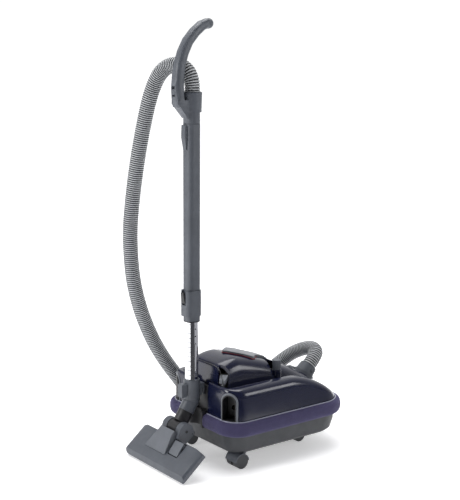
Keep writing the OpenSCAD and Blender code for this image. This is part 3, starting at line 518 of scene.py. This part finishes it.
# widths of the rounded edges that are not the usual 0.4 mm
SOFT_EDGE = {
    "head_body": 1.6, "head_spine": 1.2, "rocker_pedal": 1.0, "power_pedal": 1.2, "rewind_pedal": 1.2,
    "neck_latch": 1.0, "handle_body": 0, "clip_housing": 1.2, "clip_button": 0.8, "wand_latch": 1.0,
    "carry_handle": 0.8,
}
for name, look in LOOK.items():
    paint(nodes[name], M[look])
    if name != "hose":
        crisp(nodes[name], SOFT_EDGE.get(name, 0.4), 32, 2, weld=True)


# ---------------------------------------------------------------- refined canister shells
# half width, half length and corner radii of the shell's outline, and the height of its lower edge
SHELL_W, SHELL_L, REAR_R, FRONT_R = 146.0, 194.0, 46.0, 72.0
SEAM = 112.4
WALL = 3
# the dome's ends, the finger trench's rear wall and floor, and the gap between the dome cover and the bag lid
DOME_REAR, DOME_FRONT = -178, 150
TRENCH_REAR, TRENCH_Z = -16, 214
COVER_FRONT, LID_REAR = 21, 22
# pins of the carry handle and the bag lid
HANDLE_PIN_Y, HANDLE_PIN_Z = 6, 241
LID_PIN_Y, LID_PIN_Z = 27, 226
KNOB_X, KNOB_Y, KNOB_HOLE_R = 74, 6, 13.3
# rear arches, which open slantwise at the two rear corners
ARCH_X, ARCH_Y, ARCH_TURN = 115, -182, 29
ARCH_W, ARCH_LOW, ARCH_TOP = 50, 131, 208
WELL_X, WELL_Y, WELL_TURN = 66, -166, 35
INLET_Y, INLET_Z, INLET_TILT = 164, 166, -42


def ease(t):
    u = min(1, max(0, t))
    return u * u * (3 - 2 * u)


def lerp(a, b, t):
    return a + (b - a) * t


def lobe_top(y):
    return 216 - 22.5 * (max(0, y) / 98) ** 2


def ridge_top(y):
    crest_y, crest = -118, 278
    if y < crest_y:
        return crest - 16 * ((crest_y - y) / 64) ** 2
    return crest - 0.169 * (y - crest_y) - 0.000777 * (y - crest_y) ** 2


def dome_w(y):
    return 81 - 38 * (max(0, y) / 150) ** 1.6


def plan(hw, hl, rr, rf, nc=18, nl=44, nw=30):
    """A rectangle with round corners: radius rr at the rear and rf at the front."""
    def corner(cx, cy, r, a0):
        turns = [math.radians(a0 + 90 * i / nc) for i in range(nc + 1)]
        return [(cx + r * math.cos(a), cy + r * math.sin(a)) for a in turns]

    def side(a, b, n):
        return [(lerp(a[0], b[0], i / n), lerp(a[1], b[1], i / n)) for i in range(1, n)]

    c1, c2 = corner(hw - rr, -hl + rr, rr, -90), corner(hw - rf, hl - rf, rf, 0)
    c3, c4 = corner(-hw + rf, hl - rf, rf, 90), corner(-hw + rr, -hl + rr, rr, 180)
    return (c1 + side(c1[-1], c2[0], nl) + c2 + side(c2[-1], c3[0], nw) + c3 + side(c3[-1], c4[0], nl)
            + c4 + side(c4[-1], c1[0], nw))


def shell_ring(t, drop):
    """The shell's section at t, from its side at 0 to the dome's foot at 1; drop makes the inner face."""
    k = drop * (1 - t)
    out = []
    for x0, y0 in plan(SHELL_W - k, SHELL_L - k, REAR_R, FRONT_R):
        fy = min(150.5, max(-178.5, y0 * 164 * 1.12 / SHELL_L - 14))
        fx = math.copysign(min(abs(x0) * 0.67, dome_w(fy) + 0.5), x0)
        s = t ** 1.7
        x, y = lerp(x0, fx, s), lerp(y0, fy, s)
        rise = (1 - (1 - t / 0.62) ** 2.4) ** (1 / 2.4) if t < 0.62 else 1
        dip = 14 * ease((t - 0.72) / 0.28)
        out.append((x, y, lerp(SEAM + 14, max(lobe_top(y), SEAM + 16), rise) - dip - drop))
    return out


def shell_skin():
    ts = [1 - math.cos(math.pi / 2 * i / 26) for i in range(16)]
    ts += [lerp(ts[-1], 1, i / 26) for i in range(1, 27)]
    foot = [[(x, y, SEAM + dz) for x, y in plan(SHELL_W - d, SHELL_L - d, REAR_R, FRONT_R)]
            for d, dz in ((0, 0), (0, 7), (WALL, 7), (WALL, 0))]
    outer = [shell_ring(t, 0) for t in ts]
    inner = [shell_ring(t, WALL) for t in reversed(ts)]
    rings = foot[:2] + outer + inner + foot[2:]
    return recalc(loft("upper_shell_gloss", rings, skin=True, place=can))


def arch_cutter(side, steps=40):
    """The opening of a rear arch, with a round top."""
    r, turn = ARCH_W / 2, math.radians(ARCH_TURN)
    pts = [(-r, ARCH_LOW), (r, ARCH_LOW)]
    for i in range(steps + 1):
        a = math.pi * i / steps
        pts.append((r * math.cos(a), ARCH_TOP - r + r * math.sin(a)))

    def place(p):
        x = ARCH_X + p[0] * math.cos(turn) - p[1] * math.sin(turn)
        y = ARCH_Y + p[0] * math.sin(turn) + p[1] * math.cos(turn)
        return can((x * side, y, p[2]))
    return recalc(loft("c", [[(x, y, z) for x, z in pts] for y in (-40, 30)], place=place, smooth=False))


def tilted(p, angle, y0, z0):
    """A point of a frame that is tilted about X and sits at y0, z0."""
    c, s = math.cos(math.radians(angle)), math.sin(math.radians(angle))
    return can((p[0], y0 + p[1] * c - p[2] * s, z0 + p[1] * s + p[2] * c))


def inlet(p):
    return tilted(p, INLET_TILT, INLET_Y, INLET_Z)


def dome_ring(y, inset, n=56):
    """The dome's section at y."""
    w = dome_w(y) - inset
    t = lobe_top(y) - 26
    top = ridge_top(y) - inset
    arc = []
    for i in range(n + 1):
        a = math.pi * i / n
        c = math.cos(a)
        arc.append((w * math.copysign(abs(c) ** (1 / 3), c) if abs(c) > 1e-9 else 0.0, y,
                    t + (top - t) * max(0, math.sin(a)) ** 0.9))
    return arc + [(-w / 2, y, t - 1), (w / 2, y, t - 1)]


def rim(y, r=9.0):
    """How far the dome is drawn in by the round of its rear edge."""
    e = min(r, max(0.0, y - DOME_REAR))
    return r - math.sqrt(max(0, r * r - (r - e) ** 2))


def dome_form(name, inset, y0, y1, drop=0.0, rear=True):
    """The dome from y0 to y1 as a solid; rear rounds its rear edge."""
    ys = [y0 + k for k in (0, 0.3, 1, 2.2, 3.8, 6, 9)] if rear else [y0]
    n = max(2, round((y1 - ys[-1]) / 4))
    ys = ys + [lerp(ys[-1], y1, i / n) for i in range(1, n + 1)]
    rings = [[(x, y, z - drop) for x, y, z in dome_ring(y, inset + (rim(y) if rear else 0))] for y in ys]
    return recalc(loft(name, rings, place=can))


def make_upper_shell():
    shell = shell_skin()
    bracket_slot = box_at("c", -33.65, -199, 126, 33.65, -169, 246)
    inlet_hole = rod("c", (0, 0, -30), (0, 0, 30), 31, inlet)
    knob_hole = rod("c", (KNOB_X, KNOB_Y, 150), (KNOB_X, KNOB_Y, 270), KNOB_HOLE_R)
    cut(shell, bracket_slot, arch_cutter(1), arch_cutter(-1), inlet_hole, knob_hole)
    smooth_by_angle(shell, 34)
    paint(shell, M["navy"])
    finish_piece(shell, "navy_shell", "canister", "upper_shell")


def pedal_well(side):
    turn = math.radians(WELL_TURN)

    def place(p):
        x = WELL_X + p[0] * math.cos(turn) - p[1] * math.sin(turn)
        y = WELL_Y + p[0] * math.sin(turn) + p[1] * math.cos(turn)
        return can((side * x, y, p[2]))
    return recalc(box_at("c", -13.5, -30, 200, 13.5, 6, 305, place))


def make_dome_cover():
    dome = dome_form("dome_gloss", 0, DOME_REAR, COVER_FRONT)
    inside = dome_form("c", WALL, DOME_REAR + 5, TRENCH_REAR - WALL, 5, False)
    trench = box_at("c", -120, TRENCH_REAR, TRENCH_Z, 120, 84, TRENCH_Z + 100)
    under_trench = box_at("c", -60, TRENCH_REAR - WALL - 0.5, 100, 60, 31, TRENCH_Z - WALL)
    knob_hole = rod("c", (KNOB_X, KNOB_Y, 100), (KNOB_X, KNOB_Y, 300), KNOB_HOLE_R)
    cut(dome, inside, trench, under_trench, knob_hole)
    for side in (1, -1):
        cut(dome, pedal_well(side))
    lugs = []
    for sx in (-1, 1):
        x, y, z = sx * 26, HANDLE_PIN_Y, HANDLE_PIN_Z
        lugs.append(box_at("c", x - 4, y - 5.5, TRENCH_Z - 1, x + 4, y + 5.5, z))
        lugs.append(rod("c", (x - 4, y, z), (x + 4, y, z), 5.5))
        x, y, z = sx * 49, LID_PIN_Y, LID_PIN_Z
        lugs.append(box_at("c", x - 3, LID_REAR - 6, TRENCH_Z - 3, x + 3, LID_REAR + 8.4, TRENCH_Z + 2))
        lugs.append(box_at("c", x - 3, y - 3.6, TRENCH_Z - 3, x + 3, y + 3.6, z))
        lugs.append(rod("c", (x - 3, y, z), (x + 3, y, z), 3.6))
    add(dome, *lugs)
    smooth_by_angle(dome, 30)
    paint(dome, M["navy"])
    finish_piece(dome, "navy_shell", "canister", "dome_cover")


def make_bag_lid():
    lid = dome_form("bag_lid_gloss", 0, LID_REAR, DOME_FRONT, 0, False)
    # what lies under the skirt's lower edge, which follows the lobes
    skirt = [(y, lobe_top(y) - 13.5) for y in range(15, 160, 6)] + [(159, 100), (15, 100)]
    below = recalc(loft("c", [[(x, y, z) for y, z in skirt] for x in (-120, 120)], place=can, smooth=False))
    inside = dome_form("c", WALL, LID_REAR - 2, DOME_FRONT - WALL, 1, False)
    inlet_hole = rod("c", (0, 0, -40), (0, 0, 50), 33, inlet)
    latch_slot = box_at("c", -13.4, 115.6, 170, 13.4, 126.4, 230)
    cut(lid, inside, inlet_hole, below, latch_slot)
    knuckles = []
    for sx in (-1, 1):
        x, y, z = sx * 40, LID_PIN_Y, LID_PIN_Z
        knuckles.append(rod("c", (x - 5, y, z), (x + 5, y, z), 4.4))
        knuckles.append(box_at("c", x - 5, y - 3, z, x + 5, y + 3, z + 9.4))
    add(lid, *knuckles)
    smooth_by_angle(lid, 30)
    paint(lid, M["navy"])
    finish_piece(lid, "navy_shell", "bag_lid", "bag_lid")


# ---------------------------------------------------------------- bumper, soft goods and small pieces
BUMPER_Z, BUMPER_HALF_H, BUMPER_DEPTH, BUMPER_GAP = 112, 18.9, 16.6, 32.2


def outline(hw, hl, step=3.0):
    """Points and outward normals round the canister, from the rear gap's right end to its left end."""
    rear_x, rear_y, front_x, front_y = hw - REAR_R, -hl + REAR_R, hw - FRONT_R, hl - FRONT_R
    corners = [(rear_x, rear_y, REAR_R, -90), (front_x, front_y, FRONT_R, 0),
               (-front_x, front_y, FRONT_R, 90), (-rear_x, rear_y, REAR_R, 180)]
    out = []
    pts = [((BUMPER_GAP, -hl), (0, -1))]
    for cx, cy, r, a0 in corners:
        for i in range(31):
            a = math.radians(a0 + 3 * i)
            pts.append(((cx + r * math.cos(a), cy + r * math.sin(a)), (math.cos(a), math.sin(a))))
    pts.append(((-BUMPER_GAP, -hl), (0, -1)))
    for (p, n), (q, m) in zip(pts, pts[1:]):
        d = math.dist(p, q)
        k = max(1, round(d / step))
        for i in range(k):
            t = i / k
            nx, ny = lerp(n[0], m[0], t), lerp(n[1], m[1], t)
            s = math.hypot(nx, ny)
            out.append((lerp(p[0], q[0], t), lerp(p[1], q[1], t), nx / s, ny / s))
    out.append((*pts[-1][0], *pts[-1][1]))
    return out


def tube(name, path, r, sides, mat):
    turns = [2 * math.pi * k / sides for k in range(sides)]
    rings = [[p + r * MM * (math.cos(a) * u + math.sin(a) * v) for a in turns]
             for p, u, v in carried_frames(path)]
    return paint(recalc(loft(name, rings)), mat)


def make_bumper():
    path = outline(SHELL_W, SHELL_L)
    rings = []
    for i, (x, y, nx, ny) in enumerate(path):
        pucker = 0.25 * math.sin(i * 0.9) + 0.2 * math.sin(i * 2.3)
        ring = []
        for k in range(33):
            a = math.radians(-90 + 180 * k / 32)
            d = 0.3 + (BUMPER_DEPTH + pucker * 0.4) * max(0, math.cos(a)) ** 0.62
            h = BUMPER_HALF_H * math.copysign(abs(math.sin(a)) ** 0.86, math.sin(a))
            ring.append((x + nx * d, y + ny * d, BUMPER_Z + h))
        rings.append(ring)
    ob = recalc(loft("bumper_band", rings, place=can))
    paint(ob, M["cloth"])
    finish_piece(ob, "bumper_cloth", "canister", "bumper")
    # the top piping's light colour is a painted highlight along the bumper's upper edge; the lower piping is
    # plain cloth
    pipings = (("bumper_piping_top_painted_highlight", 2.4, 131.6, 1.7, "piping"),
               ("bumper_piping_low", 2.2, 92.9, 1.4, "cloth"))
    for name, d, z, r, look in pipings:
        line = tube(name, [can((x + nx * d, y + ny * d, z)) for x, y, nx, ny in path], r, 10, M[look])
        finish_piece(line, "bumper_cloth", "canister")


def make_dust_bag():
    """A filled paper bag: a rounded block with shallow creases along it."""
    mid_y, mid_z = 47, 106
    half_w, half_l, half_h = 58, 47.5, 44
    squareness, n, rings = 0.42, 64, []
    for i in range(33):
        t = -1 + 2 * i / 32
        k = (1 - abs(t) ** 5) ** 0.2
        ring = []
        for j in range(n):
            a = 2 * math.pi * j / n
            c, s = math.cos(a), math.sin(a)
            crease = 1 - 0.02 * math.cos(8 * a) * (1 - t * t)
            x = half_w * k * crease * math.copysign(abs(c) ** squareness, c)
            z = half_h * k * crease * math.copysign(abs(s) ** squareness, s)
            ring.append((x, mid_y + half_l * t, mid_z + z))
        rings.append(ring)
    ob = recalc(loft("dust_bag_fleece", rings[1:-1], place=can))
    paint(ob, M["paper"])
    finish_piece(ob, "paper_bag", "canister", "dust_bag")


def make_pleats(name, cad, x0, y0, z0, x1, y1, z1, across):
    """A pleated filter whose folds zigzag along x, across y or z, in a thin frame."""
    v, f, count, edge = [], [], 40, 2
    for i in range(count + 1):
        x, up = lerp(x0 + edge, x1 - edge, i / count), i % 2
        if across == "y":
            a, thick = y0 + 0.8 if up else y1 - 1.6, 0.8
            v += [(x, a, z0 + edge), (x, a, z1 - edge), (x, a + thick, z1 - edge), (x, a + thick, z0 + edge)]
        else:
            a, thick = z0 + 1 if up else z1 - 2, 0.9
            v += [(x, y0 + edge, a), (x, y1 - edge, a), (x, y1 - edge, a + thick), (x, y0 + edge, a + thick)]
    for i in range(count):
        for k in range(4):
            h = (k + 1) % 4
            f.append((i * 4 + k, i * 4 + h, i * 4 + 4 + h, i * 4 + 4 + k))
    f += [(3, 2, 1, 0), tuple(count * 4 + k for k in range(4))]
    ob = recalc(new_object(name, [can(p) for p in v], f, False))
    paint(ob, M["filter"])
    border = recalc(box_at(name + "_frame", x0, y0, z0, x1, y1, z1))
    if across == "y":
        window = box_at("c", x0 + edge, y0 - 5, z0 + edge, x1 - edge, y1 + 5, z1 - edge)
    else:
        window = box_at("c", x0 + edge, y0 + edge, z0 - 5, x1 - edge, y1 - edge, z1 + 5)
    cut(border, recalc(window))
    paint(border, M["cream"])
    finish_piece(ob, "filter_fleece", "canister", cad)
    finish_piece(border, "cream_plastic", "canister")


HEAD_TILT, HEAD_Y, HEAD_Z = 40, -340, 1.6


def head(p):
    """The floor head's frame: it leans on its front edge, with Z out of its cover."""
    return tilted(p, HEAD_TILT, HEAD_Y, HEAD_Z)


def make_bristles():
    """Two rows of tufts on rails, with a tie at each end; x, d, n run along, across and out of the head."""
    v, f = [], []
    half, rows, per_row = 110, (35, 61), 86

    def tuft(x, d, n0, n1, r):
        base = len(v)
        for n, q in ((n1, r * 0.75), (n0, r)):
            for k in range(6):
                a = math.pi * k / 3 + x
                v.append(head((x + q * math.cos(a), d + q * 0.75 * math.sin(a), n)))
        for k in range(6):
            h = (k + 1) % 6
            f.append((base + k, base + h, base + 6 + h, base + 6 + k))
        f.append(tuple(base + k for k in range(5, -1, -1)))
        f.append(tuple(base + 6 + k for k in range(6)))

    for d in rows:
        for i in range(per_row):
            tuft(-half + 2 * half * i / (per_row - 1), d, 0.9 + 0.3 * math.sin(i * 2.1), 8.4, 1.15)
    ob = recalc(new_object("brush_tufts", v, f))
    paint(ob, M["bristle"])
    finish_piece(ob, "bristle", "brushes", "brush_strips")
    rails = {
        "brush_rail_front": (-111, 34, 7.2, 111, 36, 10.6), "brush_rail_rear": (-111, 60, 7.2, 111, 62, 10.6),
        "brush_tie_left": (-111, 36, 7.6, -99, 60, 10.4), "brush_tie_right": (99, 36, 7.6, 111, 60, 10.4),
    }
    for name, corners in rails.items():
        rail = recalc(box_at(name, *corners, head))
        paint(rail, M["black"])
        finish_piece(rail, "bristle", "brushes")


def dome_top(x, y):
    """The height of the dome's surface."""
    t = lobe_top(y) - 26
    c = min(1, (abs(x) / dome_w(y)) ** 3)
    return t + (ridge_top(y) - t) * math.sin(math.acos(c)) ** 0.9


def make_lines():
    """Fine lines: the carry handle's dark red lower edge, and a black line at the dome's rear edge that is
    painted shadow, standing for the shadow gap under its overhang.
    """
    side = [(0, -123.2), (20, -105), (40, -83), (56.4, -62.6), (52.4, -51.6), (34.4, -39.6), (26.4, -24)]
    for name, sx in (("handle_edge_right", 1), ("handle_edge_left", -1)):
        pts = []
        for (xa, ya), (xb, yb) in zip(side, side[1:]):
            for i in range(8):
                x, y = lerp(xa, xb, i / 8), lerp(ya, yb, i / 8)
                pts.append(can((sx * x, y, dome_top(x, y) + 1.3)))
        ob = tube(name, pts, 1.15, 8, M["red"])
        finish_piece(ob, "black_plastic", "carry_handle")
    y = -176
    arc = dome_ring(y, rim(y) + 0.2, 80)[8:73]
    # painted shadow: a black line where the dome's rear edge overhangs a shadow gap
    ob = tube("dome_rear_painted_shadow_line", [can((x, y - 0.2, z + 0.2)) for x, _, z in arc], 0.9, 8, M["black"])
    finish_piece(ob, "black_plastic", "canister")


def make_cover_button():
    """A plain round button without any mark. It lies under the cover's top face, so it doesn't show."""
    ob = rod("cover_button", (0, 78, 38.2), (0, 78, 40.4), 8.5, head, 48, 7.8)
    crisp(ob, 0.5)
    paint(ob, M["light"])
    finish_piece(ob, "light_grey_plastic", "floor_head")


# ---------------------------------------------------------------- floor and light
def reflection_card(name, start, stop, tone):
    """A card on the floor that only reflections see, between two angles from the camera's side."""
    card, nt, b = shader(name, tone, 0.9)
    mottle(nt, b, coords(nt), tone, 3.0, 0.02)
    toward, right = Vector((0.797, -0.603, 0)), Vector((0.603, 0.797, 0))
    near, far, lift = 0.52, 9.0, Vector((0, 0, 0.004))
    steps = 12
    ring = []
    for k in range(steps + 1):
        a = math.radians(lerp(start, stop, k / steps))
        ring.append(math.cos(a) * toward + math.sin(a) * right)
    verts = [q * near + lift for q in ring] + [q * far + lift for q in ring]
    flag = new_object(name, verts, [(i, i + 1, i + steps + 2, i + steps + 1) for i in range(steps)], False)
    paint(flag, card)
    flag.visible_camera = flag.visible_diffuse = flag.visible_shadow = flag.visible_transmission = False


def stage_and_light():
    half = 30.0
    corners = [(-half, -half, 0), (half, -half, 0), (half, half, 0), (-half, half, 0)]
    floor = new_object("floor", corners, [(0, 1, 2, 3)])
    mat, nt, b = shader("studio_white", (0.90, 0.90, 0.91), 0.8)
    v = coords(nt)
    mottle(nt, b, v, (0.90, 0.90, 0.91), 3.0, 0.01)
    b.inputs["Specular IOR Level"].default_value = 0.15
    b.inputs["Emission Color"].default_value = (1, 1, 1, 1)
    # the glow grows away from the object, so that its shadow shows and the far floor stays white
    away = node(nt, "ShaderNodeVectorMath", operation="LENGTH")
    nt.links.new(v, away.inputs[0])
    glow = node(nt, "ShaderNodeMapRange")
    glow.inputs["From Min"].default_value, glow.inputs["From Max"].default_value = 0.5, 2.6
    glow.inputs["To Min"].default_value, glow.inputs["To Max"].default_value = 0.40, 0.75
    nt.links.new(away.outputs["Value"], glow.inputs["Value"])
    nt.links.new(glow.outputs["Result"], b.inputs["Emission Strength"])
    paint(floor, mat)
    scene = bpy.context.scene
    scene.view_settings.view_transform = "Standard"
    scene.view_settings.look = "None"
    world = bpy.data.worlds.new("studio")
    scene.world = world
    world.use_nodes = True
    nt = world.node_tree
    bg = nt.nodes["Background"]
    tc = node(nt, "ShaderNodeTexCoord")
    # reflections and soft light see a sky that brightens behind the object; the camera sees plain white
    dot = node(nt, "ShaderNodeVectorMath", operation="DOT_PRODUCT")
    dot.inputs[1].default_value = (-0.70, 0.54, 0.47)
    nt.links.new(tc.outputs["Generated"], dot.inputs[0])
    ramp = node(nt, "ShaderNodeValToRGB")
    dim, bright = ramp.color_ramp.elements
    dim.position, bright.position = 0.0, 0.75
    dim.color, bright.color = (0.16, 0.16, 0.17, 1), (1, 1, 1, 1)
    nt.links.new(dot.outputs["Value"], ramp.inputs["Fac"])
    soft = node(nt, "ShaderNodeBackground", Strength=0.9)
    nt.links.new(ramp.outputs["Color"], soft.inputs["Color"])
    bg.inputs["Color"].default_value = (1.0, 1.0, 1.0, 1)
    bg.inputs["Strength"].default_value = 1.05
    lp = node(nt, "ShaderNodeLightPath")
    mix = node(nt, "ShaderNodeMixShader")
    nt.links.new(lp.outputs["Is Camera Ray"], mix.inputs["Fac"])
    nt.links.new(soft.outputs["Background"], mix.inputs[1])
    nt.links.new(bg.outputs["Background"], mix.inputs[2])
    nt.links.new(mix.outputs["Shader"], nt.nodes["World Output"].inputs["Surface"])

    def area(name, loc, aim, size, power):
        li = bpy.data.lights.new(name, "AREA")
        li.energy, li.size = power, size
        ob = bpy.data.objects.new(name, li)
        scene.collection.objects.link(ob)
        ob.location = loc
        ob.rotation_euler = (Vector(aim) - Vector(loc)).to_track_quat("-Z", "Y").to_euler()

    reflection_card("reflection_card_dark", -22, 38, (0.03, 0.03, 0.035))
    reflection_card("reflection_card_grey", 38, 128, (0.30, 0.30, 0.32))
    area("overhead", (-0.5, 0.3, 3.2), (0, 0, 0.3), 2.4, 75)
    area("left", (-0.9, -3.0, 1.5), (0, -0.1, 0.5), 1.2, 48)
    area("right", (2.6, 2.0, 1.4), (0, 0, 0.3), 1.0, 18)


make_upper_shell()
make_dome_cover()
make_bag_lid()
make_bumper()
make_dust_bag()
make_pleats("premotor_pleats", "premotor_filter", -96, -18.5, 50, -4, -12.5, 108, "y")
make_pleats("exhaust_pleats", "exhaust_filter", -58, -160, 176, 54, -40, 198, "z")
make_bristles()
make_lines()
make_cover_button()
stage_and_light()
